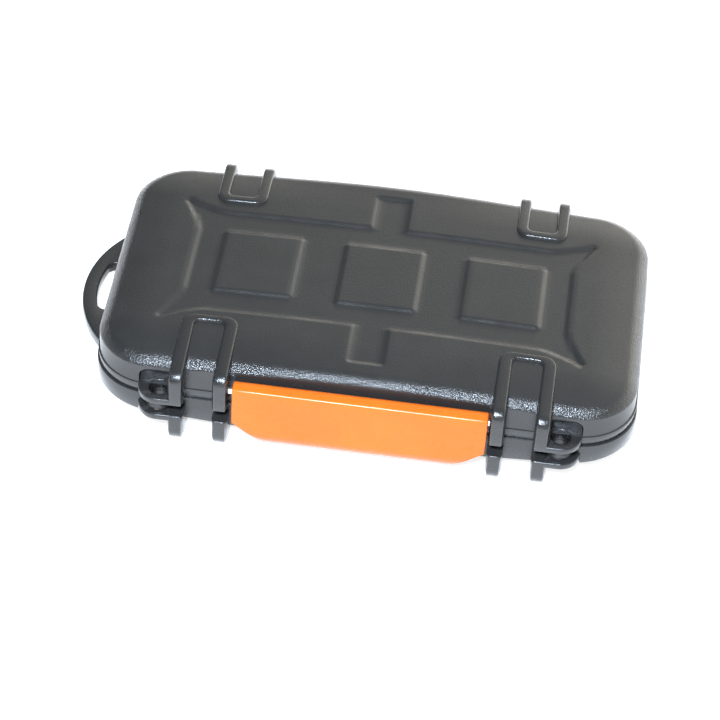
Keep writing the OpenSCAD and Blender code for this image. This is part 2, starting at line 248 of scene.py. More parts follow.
def low_bends(tree, coordinates):
    """1 where the roof bends down to its edge, and 0 on its flat parts."""
    upright = reckoned(tree, "ABSOLUTE", split(tree, coordinates.outputs["Normal"])["Z"])
    height = split(tree, coordinates.outputs["Object"])["Z"]
    steep = spread(tree, upright, LEVEL, STEEP, 0, 1)
    return reckoned(tree, "MULTIPLY", steep, spread(tree, height, BEND_TOP, BEND_LOW, 0, 1))


def laid_over(tree, under, colour, share):
    """A colour laid over another one by a share between 0 and 1."""
    mix = node(tree, "ShaderNodeMix", data_type="RGBA")
    mix.inputs["B"].default_value = colour + (1,)
    tree.links.new(share, mix.inputs["Factor"])
    tree.links.new(under, mix.inputs["A"])
    return mix.outputs["Result"]


def clouded(tree, place, colour):
    """A colour with faint, wide clouds of a paler and a deeper shade."""
    body = node(tree, "ShaderNodeMix", data_type="RGBA")
    body.inputs["A"].default_value = tuple(c * 0.84 for c in colour) + (1,)
    body.inputs["B"].default_value = tuple(min(1, c * 1.22) for c in colour) + (1,)
    tree.links.new(noise(tree, place, Scale=CLOUDS, Detail=3.0), body.inputs["Factor"])
    return body.outputs["Result"]


def moulded(name, colour, roughness, grain, depth, worn, dust, specular=0.5, glitter=0.0):
    """Moulded plastic: grain is the size of its texture in metres, depth its height."""
    material = bpy.data.materials.new(name)
    material.use_nodes = True
    tree = material.node_tree
    shader = tree.nodes["Principled BSDF"]
    shader.inputs["Specular IOR Level"].default_value = specular
    coordinates = node(tree, "ShaderNodeTexCoord")
    place = coordinates.outputs["Object"]

    edges = node(tree, "ShaderNodeNewGeometry").outputs["Pointiness"]
    wear = spread(tree, edges, 0.53, 0.62, 0, worn)
    rubbed_colour = tuple(min(1, c * 1.5 + 0.03) for c in colour)
    rubbed = laid_over(tree, clouded(tree, place, colour), rubbed_colour, wear)
    specks = spread(tree, speckle(tree, place, SPECKS, SPECK), 0, 1, 0, dust)
    tree.links.new(laid_over(tree, rubbed, DUST, specks), shader.inputs["Base Color"])

    bends = low_bends(tree, coordinates)
    smears = noise(tree, place, Scale=SMEARS, Detail=4.0)
    rough = spread(tree, smears, 0.3, 0.7, roughness - 0.05, roughness + 0.05)
    rough = reckoned(tree, "MULTIPLY_ADD", bends, -SHARPER * glitter, rough)
    tree.links.new(rough, shader.inputs["Roughness"])

    bump = node(tree, "ShaderNodeBump", Strength=1.0)
    deeper = spread(tree, bends, 0, 1, depth, depth * (1 + DEEPER * glitter))
    tree.links.new(deeper, bump.inputs["Distance"])
    fine = noise(tree, place, Scale=1 / grain, Detail=2.5, Roughness=0.6)
    tree.links.new(fine, bump.inputs["Height"])
    tree.links.new(bump.outputs["Normal"], shader.inputs["Normal"])
    print(f"{name}: roughness {roughness}, grain {grain * 1000:.2f} mm")
    return material


black = (0.018, 0.0178, 0.0172)
roof_finish = moulded("grained_black_plastic", black, 0.34, 0.00033, 0.00006, 0.2, 0.5, glitter=1.0)
wall_finish = moulded("satin_black_plastic", black, 0.26, 0.00045, 0.000012, 0.3, 0.35)
frame_finish = moulded("frame_black_plastic", black, 0.24, 0.00038, 0.00006, 0.3, 0.35)
orange_finish = moulded(
    "satin_orange_plastic", (0.60, 0.120, 0.008), 0.27, 0.0006, 0.000008, 0.15, 0.15, 0.3
)

# %% [markdown]
# ## Steel, silicone and foam
# The pins are drawn wire: metal, and bright with a faint grain. Silicone is smooth but dull.
# Foam rubber is full of tiny closed cells, which show as a fine pitted grain and take most
# of its gloss away. The same recipe serves them all, with other values.

# %% Smaller finishes
steel_finish = moulded("drawn_steel", (0.60, 0.60, 0.61), 0.28, 0.0002, 0.000003, 0.2, 0.0)
steel_finish.node_tree.nodes["Principled BSDF"].inputs["Metallic"].default_value = 1.0
silicone_finish = moulded(
    "grey_silicone", (0.055, 0.055, 0.058), 0.55, 0.0003, 0.00001, 0.1, 0.2, 0.35
)
foam_finish = moulded(
    "foam_rubber", (0.052, 0.052, 0.056), 0.85, 0.00045, 0.00009, 0.2, 0.15, 0.3
)

# %% [markdown]
# ## The lid's crowned roof
# The roof is nearly flat in the middle, falls over a soft shoulder and ends in a rounded band
# and a crisp edge all round, which is lower at the corners than at the latch. Carving it by
# subdivision would blur the edge, so the height is a rule: a flat crown, less the shoulder's
# fall, less the drop of the edge band, less the sunk panel. A distance to the panel's
# outline, negative inside, gives its slopes an even width, because such a relief is soft.

# %% Rules for the roof and the relief
CASE_X, CASE_Y, CORNER_R = 60.0, 34.0, 12.8
TOP_Z, SEAM_LID, SEAM_BASE, BELLY_Z = 22.0, 10.3, 10.1, 0.6
BAND_W, BAND_R = 3.0, 4.1
SINK, SLOPE_W = 0.6, 1.7
FRONT_EDGE_Z, FRONT_BOW, REAR_EDGE_Z, REAR_BOW = 19.6, 2.15, 20.2, 2.2
CROWN, SHOULDER_W = 0.0004, 12.0
PANEL_X, PANEL_Y, NOTCH_X, NOTCH_Y, PANEL_R = 43.0, 16.7, 3.8, 28.2, 0.6
BLOCK_X, BLOCK_Y, BLOCK_PITCH, BLOCK_R = 8.95, 10.2, 27.9, 0.8
BELLY_X, BELLY_Y = 0.001, 0.0006
MID_X, MID_Y = CASE_X - CORNER_R, CASE_Y - CORNER_R


def crown(x, y):
    return CROWN * (x * x + y * y)


def belly_rise(x, y):
    return BELLY_X * x * x + BELLY_Y * y * y


def band_drop(inset):
    out = np.clip(BAND_W - inset, 0, BAND_W)
    return BAND_R - np.sqrt(BAND_R**2 - out**2)


def edge_height(x, y):
    """The crisp edge's height: bowed along X, and a little higher at the rear than in front."""
    bow = np.sin(math.pi / 2 * np.clip(np.abs(x) / CASE_X, 0, 1)) ** 2
    share = np.clip((y + CASE_Y) / (2 * CASE_Y), 0, 1)
    rear = share * share * (3 - 2 * share)
    return (FRONT_EDGE_Z - FRONT_BOW * bow) * (1 - rear) + (REAR_EDGE_Z - REAR_BOW * bow) * rear


def shoulder_fall(x, y, inset):
    fall = np.maximum(TOP_Z - crown(x, y) - band_drop(0.0) - edge_height(x, y), 0)
    return fall * np.clip(1 - inset / SHOULDER_W, 0, 1) ** 2


def box_distance(x, y, middle_x, half_x, half_y, corner):
    over_x = np.abs(x - middle_x) - half_x + corner
    over_y = np.abs(y) - half_y + corner
    outside = np.hypot(np.maximum(over_x, 0), np.maximum(over_y, 0))
    return outside + np.minimum(np.maximum(over_x, over_y), 0) - corner


def soft_join(a, b, reach):
    """The nearer of two outlines, with their inner corner rounded."""
    mix = np.clip(0.5 + 0.5 * (b - a) / reach, 0, 1)
    return b + (a - b) * mix - reach * mix * (1 - mix)


JOIN_R = 0.8
ARM = [(42.0, 9.0), (43.0, 11.0), (48.6, 18.0), (45.2, 22.8), (38.5, 16.7), (36.0, 15.7)]


def arm_distance(x, y):
    """Distance to the panel's arm towards a corner, on all four corners at once."""
    far = np.full(np.shape(x), -1e9)
    for (x0, y0), (x1, y1) in zip(ARM, ARM[1:] + ARM[:1]):
        length = math.hypot(x1 - x0, y1 - y0)
        across = ((np.abs(x) - x0) * (y1 - y0) - (np.abs(y) - y0) * (x1 - x0)) / length
        far = np.maximum(far, across)
    return far


def slope(distance):
    """1 inside an outline and 0 outside it, along a soft slope."""
    t = np.clip(0.5 - distance / SLOPE_W, 0, 1)
    return t * t * (3 - 2 * t)


def panel(x, y):
    outline = box_distance(x, y, 0, PANEL_X, PANEL_Y, PANEL_R)
    outline = soft_join(outline, box_distance(x, y, 0, NOTCH_X, NOTCH_Y, PANEL_R), JOIN_R)
    return slope(soft_join(outline, arm_distance(x, y), JOIN_R))


def blocks(x, y):
    middles = (-BLOCK_PITCH, 0, BLOCK_PITCH)
    return sum(slope(box_distance(x, y, middle, BLOCK_X, BLOCK_Y, BLOCK_R)) for middle in middles)


def lid_roof(x, y, inset):
    dome = TOP_Z - crown(x, y) - shoulder_fall(x, y, inset) - band_drop(inset)
    return dome - SINK * panel(x, y) * (1 - blocks(x, y))


roof_middle, roof_front = float(lid_roof(0.0, 0.0, CASE_Y)), float(lid_roof(0.0, -CASE_Y, 0))
print("roof: middle", round(roof_middle, 2), "front edge", round(roof_front, 2))

# %% [markdown]
# ## One layout of points for lid and base
# Both halves have the same plan, a rectangle with round corners. Its points lie on rings
# that shrink inwards until the corners meet, and the rectangle that is left is a plain grid.
# The rings keep every edge clean, and the points crowd where the relief has its slopes. A
# remeshed or sculpted surface would need many more points to hold the same lines.

# %% Plan of points
SPACED, CLOSE, NEAR = 1.1, 0.26, 0.9


def crowded(half, places):
    """Steps from -half to half, small near the given places on either side."""
    steps, at = [-half], -half
    while at < half - 1e-6:
        near = any(abs(abs(at + CLOSE) - place) < NEAR for place in places)
        at += CLOSE if near else SPACED
        steps.append(at)
    steps = np.array(steps)
    return steps * half / steps[-1] if steps[-1] > half + 1e-6 else steps


def mirrored(values):
    """The same steps on both sides of the middle, with a point in the middle."""
    positive = values[values > 1e-6]
    return np.concatenate([-positive[::-1], [0.0], positive])


relief_x = (NOTCH_X, BLOCK_X, BLOCK_PITCH - BLOCK_X, BLOCK_PITCH + BLOCK_X, PANEL_X, 45.0, 46.5)
relief_y = (BLOCK_Y, PANEL_Y, 18.4, 20.2)
XS = mirrored(crowded(MID_X, relief_x))
YS = mirrored(crowded(MID_Y, relief_y))
XS[0], XS[-1], YS[0], YS[-1] = -MID_X, MID_X, -MID_Y, MID_Y
ARC_STEPS = 18


def plan_ring(inset):
    """The plan's outline, moved in by inset, as points (x, y)."""
    half_x, half_y, radius = CASE_X - inset, CASE_Y - inset, CORNER_R - inset
    turns = np.linspace(0, math.pi / 2, ARC_STEPS + 1)[1:-1]
    half = [(x, -half_y) for x in XS]
    half += [(MID_X + radius * math.sin(a), -MID_Y - radius * math.cos(a)) for a in turns]
    half += [(half_x, y) for y in YS]
    half += [(MID_X + radius * math.cos(a), MID_Y + radius * math.sin(a)) for a in turns]
    return np.concatenate([half, -np.array(half)])


def lifted(inset, height):
    """The plan's ring at an inset, at a height or on a surface given as a rule."""
    ring = plan_ring(inset)
    z = height(ring[:, 0], ring[:, 1]) if callable(height) else np.full(len(ring), height)
    return np.column_stack([ring, z])


def deck(rule, rows, finish=0):
    """The grid inside the innermost ring; rows may be fewer than the ring's own points."""
    points, faces, index = [], [], {}

    def spot(x, y):
        key = (round(x, 5), round(y, 5))
        if key not in index:
            index[key] = len(points)
            points.append((x, y, float(rule(np.float64(x), np.float64(y)))))
        return index[key]

    for y0, y1 in zip(rows, rows[1:]):
        between = [y for y in YS if y0 + 1e-6 < y < y1 - 1e-6]
        for x0, x1 in zip(XS, XS[1:]):
            face = [spot(x0, y0), spot(x1, y0)]
            if x1 == XS[-1]:
                face += [spot(x1, y) for y in between]
            face += [spot(x1, y1), spot(x0, y1)]
            if x0 == XS[0]:
                face += [spot(x0, y) for y in reversed(between)]
            faces.append(tuple(face))
    return np.array(points), faces, finish


ROOF_INSETS = np.concatenate([
    np.arange(12.8, 9.4, -0.34), np.arange(9.2, 7.0, -0.9), np.arange(6.8, 4.7, -0.26),
    [4.2, 3.6, 3.2, 3.0, 2.8, 2.5, 2.2, 1.8, 1.4, 1.0, 0.7, 0.45, 0.3]
])
FEW_ROWS = np.array([YS[0], YS[len(YS) // 4], 0.0, YS[-1 - len(YS) // 4], YS[-1]])
print("plan:", len(XS), "by", len(YS), "points in the grid,", len(ROOF_INSETS), "rings round it")

# %% [markdown]
# ## The lid
# Below its crisp edge the lid's wall is upright and smooth, and a low band stands out
# 0.4 mm above the seam. Inside, the seal's groove runs in the wall's lower face. One list of
# rings describes it all, read from the middle of the roof outwards, down the wall and back
# in to the ceiling. The roof's faces get the grained finish, the rest the smooth one.

# %% Lid body
WALL, SKIN, CEILING_Z, MIDWAY = 3.4, 2.6, 19.0, 8.0
BAND_TOP, BAND_OUT = 12.7, 0.4
GROOVE_OUT, GROOVE_IN, GROOVE_H = 1.8, 2.9, 1.6
CRISP = 38


def edge_turn(height, inset0, inset1, drop, steps=4):
    """Rings that round a crisp edge from the surface `height` to an upright wall."""
    rings = []
    for k in range(1, steps + 1):
        t = k / steps
        inset = inset0 * (1 - t) ** 2 + inset1 * (1 - (1 - t) ** 2)
        at_start, at_edge = (1 - t) ** 2, 2 * t * (1 - t)
        rings.append(lifted(inset, lambda x, y, a=at_start, b=at_edge, c=t * t:
                            a * height(x, y, inset0) + b * height(x, y, inset1)
                            + c * (height(x, y, inset1) + drop)))
    return rings


def ceiling(x, y):
    return CEILING_Z - belly_rise(x, y)


def inward(rule):
    """Rings of a surface inside the case, from the wall to the middle."""
    return [lifted(inset, rule) for inset in (WALL, MIDWAY, CORNER_R)]


roof_rings = [lifted(t, lambda x, y, t=t: lid_roof(x, y, t)) for t in ROOF_INSETS]
roof_rings += edge_turn(lid_roof, 0.3, 0.0, -0.2)
lid_profile = [
    (0.0, BAND_TOP + 0.15), (-0.06, BAND_TOP + 0.03), (-0.2, BAND_TOP), (-0.34, BAND_TOP - 0.05),
    (-BAND_OUT, BAND_TOP - 0.2), (-0.12, SEAM_LID + 0.12), (-0.08, SEAM_LID + 0.03),
    (0.0, SEAM_LID), (GROOVE_OUT, SEAM_LID), (GROOVE_OUT, SEAM_LID + GROOVE_H),
    (GROOVE_IN, SEAM_LID + GROOVE_H), (GROOVE_IN, SEAM_LID), (WALL - 0.2, SEAM_LID),
    (WALL, SEAM_LID + 0.2)
]
lid_rings = [roof_rings[-1]] + [lifted(inset, z) for inset, z in lid_profile] + inward(ceiling)
lid_skins = [
    weave(roof_rings),
    deck(lambda x, y: lid_roof(x, y, CASE_Y), YS),
    weave(lid_rings, finish=1),
    deck(ceiling, FEW_ROWS, finish=1),
]
lid = make("lid_body", lid_skins, [roof_finish, wall_finish], "lid", "case_plastic", crisp=CRISP)

# %% [markdown]
# ## The base
# The base mirrors the lid: a crowned underside with the same sunk panel, whose three blocks
# reach down to the table, and a tub wall that ends in a rim and the tongue that presses on
# the seal.

# %% Base body
RIM = 0.6
TONGUE_OUT, TONGUE_IN, TONGUE_H = 2.05, 2.65, 0.65


def base_floor(x, y, inset):
    belly = BELLY_Z + belly_rise(x, y) + band_drop(inset)
    return (belly + SINK * panel(x, y)) * (1 - blocks(x, y))


def base_ceiling(x, y):
    return BELLY_Z + belly_rise(x, y) + SKIN


belly_rings = [lifted(t, lambda x, y, t=t: base_floor(x, y, t)) for t in ROOF_INSETS]
for inset, rise in ((0.0, 0.0), (-0.3, 0.0), (-0.52, 0.08), (-RIM, 0.3)):
    belly_rings.append(lifted(inset, lambda x, y, up=rise: base_floor(x, y, 0.0) + up))
base_profile = [
    (-RIM, SEAM_BASE - 0.2), (-RIM + 0.06, SEAM_BASE - 0.06), (-RIM + 0.2, SEAM_BASE),
    (TONGUE_OUT, SEAM_BASE), (TONGUE_OUT, SEAM_BASE + TONGUE_H), (TONGUE_IN, SEAM_BASE + TONGUE_H),
    (TONGUE_IN, SEAM_BASE), (WALL - 0.2, SEAM_BASE), (WALL, SEAM_BASE - 0.2)
]
base_rings = [belly_rings[-1]] + [lifted(inset, z) for inset, z in base_profile] + inward(base_ceiling)
base_skins = [
    weave(belly_rings),
    deck(lambda x, y: base_floor(x, y, CASE_Y), YS),
    weave(base_rings, finish=1),
    deck(base_ceiling, FEW_ROWS, finish=1),
]
base = make("base_body", base_skins, [roof_finish, wall_finish], "base", "case_plastic", crisp=CRISP)

# %% [markdown]
# ## Clip frames
# A clip frame is a flat U that lies on the roof and turns over the edge in one sweep, so
# its two legs stand in front of the wall like posts. Bending a flat U with a modifier would
# pinch its corners, so the U is drawn flat, as pairs of points on its outer and inner
# outline, and each pair is lifted onto the path: along the roof, round the bend and down.
# Every pair carries the same section, with rounded upper edges and a foot that runs down
# into the moulding.

# %% Drawing a U
DRAFT, DRAFT_H = 0.3, 1.3
OUTER_R, INNER_R = 3.2, 0.9


def arc(middle, radius, start, end, steps):
    turns = np.radians(np.linspace(start, end, steps))
    return [(middle[0] + radius * math.cos(a), middle[1] + radius * math.sin(a)) for a in turns]


def u_outline(half, leg, bar, joints):
    """Pairs (outer, inner) along a U whose closed end, bar wide, lies at 0."""
    reach_in = half - leg
    left, left_in = [], []
    for s in joints[::-1]:
        if s > OUTER_R and s > bar + INNER_R:
            left.append((-half, s))
            left_in.append((-reach_in, s))
    turn_out = arc((-half + OUTER_R, OUTER_R), OUTER_R, 180, 270, 10)
    turn_in = arc((-reach_in + INNER_R, bar + INNER_R), INNER_R, 180, 270, 10)
    out = left + turn_out + [(0.0, 0.0)]
    inside = left_in + turn_in + [(0.0, bar)]
    out += [(-x, s) for x, s in reversed(out[:-1])]
    inside += [(-x, s) for x, s in reversed(inside[:-1])]
    return list(zip(np.array(out), np.array(inside)))


def drafted(round_r):
    """A side with draft and a rounded upper edge, as (in from the side, down from the top)."""
    rounding = [(DRAFT + d, h) for d, h in quarter(round_r)]
    return [(0.0, DRAFT_H), (DRAFT * 0.8, round_r * 1.3)] + rounding


def u_frame(pairs, on_path, deep, round_r, end_r, length, steps=4):
    """Closed skin of a U. on_path(x, s, height) is its top, deep(x, s) its buried foot."""
    ends = []
    for k in range(steps + 1):
        angle = math.pi / 2 * k / steps
        ends.append((length - end_r + end_r * math.sin(angle), end_r * (1 - math.cos(angle))))
    rows = [(pairs[0], s, fall) for s, fall in reversed(ends)]
    rows += [(pair, None, 0.0) for pair in pairs[1:-1]]
    rows += [(pairs[-1], s, fall) for s, fall in ends]
    sections = []
    for (outer, inner), s_end, fall in rows:
        outer, inner = outer.copy(), inner.copy()
        if s_end is not None:
            outer[1] = inner[1] = s_end
        across = inner - outer
        width = float(np.hypot(*across))
        across = across / width
        line = [(fall, None)] + [(d + fall, -h - fall) for d, h in drafted(round_r)]
        line += [(width - d, h) for d, h in reversed(line[1:])] + [(width - fall, None)]
        ring = []
        for d, h in line:
            x, s = outer + across * d
            ring.append(deep(x, s) if h is None else on_path(x, s, h))
        sections.append(ring)
    return weave(sections, capped=True)


def at_x(rule, middle):
    """A path rule for a frame whose middle is at x = middle."""
    return lambda x, *rest: rule(x + middle, *rest)


def moulding(name, skins, body):
    """A separate piece of the lid's or the base's moulding, with the frames' finish."""
    return make(name, skins, [frame_finish], body, "case_plastic")


def add_frame(name, body, path, shape, bar, round_r, end_r):
    """A U laid on a path; shape is (middle along X, half width, width of a leg)."""
    (on_path, deep, joints, length), (middle, half, leg) = path, shape
    pairs = u_outline(half, leg, bar, joints)
    skin = u_frame(pairs, at_x(on_path, middle), at_x(deep, middle), round_r, end_r, length)
    return moulding(name, [skin], body)


def joints_along(spacing, flat, curve, last):
    """Where a path's sections lie: on its flat, round its bend and on its last stretch."""
    stretches = [np.arange(0.5, flat, spacing), [flat], flat + curve * np.linspace(0, 1, 11),
                 flat + curve + np.array([0.5, 1.0]) * last]
    return np.unique(np.round(np.concatenate(stretches), 4))


# %% [markdown]
# ### Frames of the lid
# The front frames start 19.3 mm in front of the middle and bend with a 3 mm radius over
# the edge. The rear ones bend wider, and their arms end in the hinge's knuckles. Both lie
# 0.77 mm above the roof and come down with its shoulder.

# %% Lid frames
FRAME_RISE, FOOT_IN, SHOULDER_Y, SHOULDER_POWER, LEG_DROP = 0.77, 0.9, 20.0, 1.8, 7.0
FRONT_Y, FRONT_X, FRONT_HALF, FRONT_LEG = 39.1, 35.35, 6.65, 3.5
REAR_Y, REAR_X, REAR_HALF, REAR_LEG = 37.1, 34.95, 6.15, 3.2
SIDES = (("left", -1), ("right", 1))


def over_edge(start_y, out_y, bend, end_top, end_z, side):
    """The path of a frame on the lid: along the roof, round a bend and down to end_z."""
    bend_y = out_y - bend
    flat = bend_y - start_y
    curve = bend * math.pi / 2

    def top(x, y):
        t = max(0.0, (y - SHOULDER_Y) / (bend_y - SHOULDER_Y)) ** SHOULDER_POWER
        return (1 - t) * (TOP_Z - crown(x, y) + FRAME_RISE) + t * end_top(x)

    def point(x, s):
        if s <= flat:
            return start_y + s, top(x, start_y + s), 0.0, 1.0
        middle_z = end_top(x) - bend
        if s <= flat + curve:
            a = (s - flat) / bend
            out, lift = math.sin(a), math.cos(a)
            return bend_y + bend * out, middle_z + bend * lift, out, lift
        share = (s - flat - curve) / LEG_DROP
        return out_y, middle_z + (end_z - middle_z) * share, 1.0, 0.0

    def on_path(x, s, height):
        y, z, out, lift = point(x, s)
        return (x, side * (y + out * height), z + lift * height)

    def deep(x, s):
        y, z, _, _ = point(x, s)
        foot_y = min(y, CASE_Y - FOOT_IN)
        roof = float(lid_roof(np.float64(x), np.float64(side * foot_y), CASE_Y - foot_y))
        return (x, side * foot_y, min(z, roof - FOOT_IN))

    joints = joints_along(1.2, flat, curve, LEG_DROP)
    return on_path, deep, joints, flat + curve + LEG_DROP


def bend_top(at_middle, bow):
    """The height of a bend, lower towards the ends of the case where it is bowed."""
    return lambda x: at_middle - bow * x * x


lid_frames = []
for side_name, side in SIDES:
    path = over_edge(19.3, FRONT_Y, 3.0, bend_top(21.82, 0.001), 11.4, -1)
    shape = (side * FRONT_X, FRONT_HALF, FRONT_LEG)
    lid_frames.append(add_frame(f"lid_front_frame_{side_name}", "lid", path, shape, 2.3, 0.5, 0.4))
    path = over_edge(19.9, REAR_Y, 4.2, bend_top(21.2, 0.0), 9.6, 1)
    shape = (side * REAR_X, REAR_HALF, REAR_LEG)
    lid_frames.append(add_frame(f"lid_rear_frame_{side_name}", "lid", path, shape, 2.8, 0.5, 0.2))

# %% [markdown]
# ### Feet of the base
# The base has the same frames upside down. In front they are the legs below the lid's legs:
# they turn under with a wider bend and end as flat feet on the table. At the rear only the
# flat feet remain, because the hinge's knuckles are above them.

# %% Base frames
BELLY_IN = BELLY_Z + SINK + FOOT_IN


def under_edge(start_y, out_y, bend, top_z, side):
    """The path of a foot: along the table, round a bend and up to top_z."""
    flat, curve, rise = out_y - bend - start_y, bend * math.pi / 2, top_z - bend

    def point(s):
        if s <= flat:
            return start_y + s, 0.0, 0.0, 1.0
        if s <= flat + curve:
            a = (s - flat) / bend
            out, down = math.sin(a), math.cos(a)
            return out_y - bend + bend * out, bend - bend * down, out, down
        return out_y, bend + s - flat - curve, 1.0, 0.0

    def on_path(x, s, height):
        y, z, out, down = point(s)
        return (x, side * (y + out * height), z - down * height)

    def deep(x, s):
        y, z, _, _ = point(s)
        foot_y = min(y, CASE_Y - FOOT_IN)
        return (x, side * foot_y, max(z, BELLY_IN + belly_rise(x, foot_y)))

    return on_path, deep, joints_along(1.5, flat, curve, rise), flat + curve + rise


def foot_only(start_y, end_y):
    """The path of a flat foot at the rear, straight along the table."""
    def on_path(x, s, height):
        return (x, start_y + s, -height)

    def deep(x, s):
        return (x, start_y + s, BELLY_IN + belly_rise(x, start_y + s))

    length = end_y - start_y
    return on_path, deep, np.arange(0.5, length + 0.1, 1.4), length


for side_name, side in SIDES:
    path, shape = under_edge(19.6, FRONT_Y, 4.0, 8.3, -1), (side * FRONT_X, FRONT_HALF, FRONT_LEG)
    add_frame(f"base_front_leg_{side_name}", "base", path, shape, 3.7, 0.45, 0.35)
    path, shape = foot_only(18.4, 32.9), (side * REAR_X, REAR_HALF, REAR_LEG)
    add_frame(f"base_rear_foot_{side_name}", "base", path, shape, 3.8, 0.45, 0.35)

# %% [markdown]
# ## Plates with a hole
# The lugs and the lanyard loop are flat plates with a hole and soft edges. A boolean would
# cut the hole but leave its edges sharp, so the skin is laid round the hole instead: rays
# from the hole's middle meet both outlines, and along each ray runs the same section, over
# the top, down the hole and back underneath.

# %% Pierced plates
PLATE_STEP, SAME_RAY = 0.6, 0.008


def resampled(outline, step):
    """Points along a closed outline, no further apart than step, with its corners kept."""
    points = []
    for (x0, y0), (x1, y1) in zip(outline, outline[1:] + outline[:1]):
        count = max(1, math.ceil(math.hypot(x1 - x0, y1 - y0) / step))
        points += [(x0 + (x1 - x0) * k / count, y0 + (y1 - y0) * k / count) for k in range(count)]
    return np.array(points)


def met_by_rays(outline, middle, angles):
    """Where rays from the middle meet an outline, and the outline's outward direction there."""
    a, b = outline - middle, np.roll(outline, -1, axis=0) - middle
    run = b - a
    points, normals = [], []
    for angle in angles:
        ray = np.array([math.cos(angle), math.sin(angle)])
        bottom = ray[0] * run[:, 1] - ray[1] * run[:, 0]
        bottom = np.where(np.abs(bottom) < 1e-12, 1e-12, bottom)
        along = (a[:, 0] * run[:, 1] - a[:, 1] * run[:, 0]) / bottom
        share = (a[:, 0] * ray[1] - a[:, 1] * ray[0]) / bottom
        hit = np.where((share > -1e-9) & (share < 1 + 1e-9) & (along > 0), along, -1).argmax()
        points.append(middle + ray * along[hit])
        normal = np.array([run[hit][1], -run[hit][0]])
        normals.append(normal / np.hypot(*normal) * (1 if normal @ ray > 0 else -1))
    points, normals = np.array(points), np.array(normals)
    soft = normals + np.roll(normals, 1, axis=0) + np.roll(normals, -1, axis=0)
    return points, soft / np.hypot(soft[:, 0], soft[:, 1])[:, None]


def pierced_plate(outline, hole, middle, z0, z1, round_r):
    outline, hole = resampled(outline, PLATE_STEP), resampled(hole, PLATE_STEP)
    spots = np.concatenate([outline, hole]) - np.array(middle)
    angles = np.unique(np.round(np.arctan2(spots[:, 1], spots[:, 0]), 4))
    angles = angles[np.concatenate([[True], np.diff(angles) > SAME_RAY])]
    outer, outer_normal = met_by_rays(outline, middle, angles)
    inner, inner_normal = met_by_rays(hole, middle, angles)
    turns = quarter(round_r, 3)
    section = [(outer, outer_normal, -d, z1 - h) for d, h in turns]
    section += [(inner, inner_normal, d, z1 - h) for d, h in reversed(turns)]
    section += [(inner, inner_normal, d, z0 + h) for d, h in turns]
    section += [(outer, outer_normal, -d, z0 + h) for d, h in reversed(turns)]
    rings = [np.column_stack([line + normal * shift, np.full(len(line), z)])
             for line, normal, shift, z in section]
    return weave(rings + rings[:1])


# %% [markdown]
# ## Lugs
# A padlock's shackle or a tie goes through the two lugs on each front corner. The lid's lug
# has a short sleeve below it that meets the base's lug. Each is laid round its hole.

# %% Lugs
LUG_X, LUG_Y, LUG_R, HOLE_Y, HOLE_R = 44.4, -34.4, 4.7, -35.0, 2.2
LUG_SIDE, LUG_BACK, SLEEVE_R, LID_LUG_Z, BASE_LUG_Z = 41.2, -32.3, 2.9, 11.4, 6.7
LUG_H, LUG_ROUND = 1.6, 0.35


def mirror_x(skin):
    points, faces, finish = skin
    return points * np.array([-1.0, 1.0, 1.0]), faces, finish


BOTH_SIDES = (("right", lambda skin: skin), ("left", mirror_x))

lug_outline = [(LUG_SIDE, LUG_Y - LUG_R)] + arc((LUG_X, LUG_Y), LUG_R, -90, 0, 18)
lug_outline += [(LUG_X + LUG_R, LUG_BACK), (LUG_SIDE, LUG_BACK)]
lug_hole = arc((LUG_X, HOLE_Y), HOLE_R, 0, 350, 36)
sleeve = arc((LUG_X, HOLE_Y), SLEEVE_R, 0, 350, 36)


def half_sleeve(z0, z1):
    """The lower part of the sleeve, in front of the base's rim only."""
    rings = []
    for angle in np.radians(np.linspace(177, 363, 28)):
        ray = (math.cos(angle), math.sin(angle))
        line = [(HOLE_R, z0 + 0.1), (HOLE_R + 0.1, z0), (SLEEVE_R - 0.15, z0),
                (SLEEVE_R, z0 + 0.15), (SLEEVE_R, z1), (HOLE_R, z1)]
        rings.append([(LUG_X + ray[0] * r, HOLE_Y + ray[1] * r, z) for r, z in line])
    return weave(rings, capped=True)


hole_middle = (LUG_X, HOLE_Y)
lid_lug = [
    pierced_plate(lug_outline, lug_hole, hole_middle, LID_LUG_Z, LID_LUG_Z + LUG_H, LUG_ROUND),
    pierced_plate(sleeve, lug_hole, hole_middle, 9.6, LID_LUG_Z + 0.2, 0.1),
    half_sleeve(8.7, 9.8),
]
base_lug = [pierced_plate(lug_outline, lug_hole, hole_middle, BASE_LUG_Z, BASE_LUG_Z + LUG_H, LUG_ROUND)]
for side_name, place in BOTH_SIDES:
    moulding(f"lid_lug_{side_name}", [place(s) for s in lid_lug], "lid")
    moulding(f"base_lug_{side_name}", [place(s) for s in base_lug], "base")

# %% [markdown]
# ## Hollows and holes
# The wall is hollowed out above and below the lugs, so that the shackle has room. A boolean
# cuts these hollows and the holes into the two bodies, because there they only leave plain
# edges. Its cutters are closed skins too: turned rods, upright posts and niches.

# %% Cutters and cuts
NICHE_R, NICHE_ROUND, NICHE_Z, SHACKLE_Z = 4.75, 2.2, 14.7, 12.8


def rod(profile, middle, steps=40, capped=True):
    """A turned piece along X: profile is (x, radius) from end to end."""
    turns = np.linspace(0, 2 * math.pi, steps, endpoint=False)
    rings = [[(x, middle[0] + r * math.cos(a), middle[1] + r * math.sin(a)) for a in turns]
             for x, r in profile]
    return weave(rings, capped=capped)


def stacked(levels, finish=0):
    """An upright skin through plain outlines; levels are (outline, z)."""
    return weave([[(x, y, z) for x, y in outline] for outline, z in levels], capped=True, finish=finish)


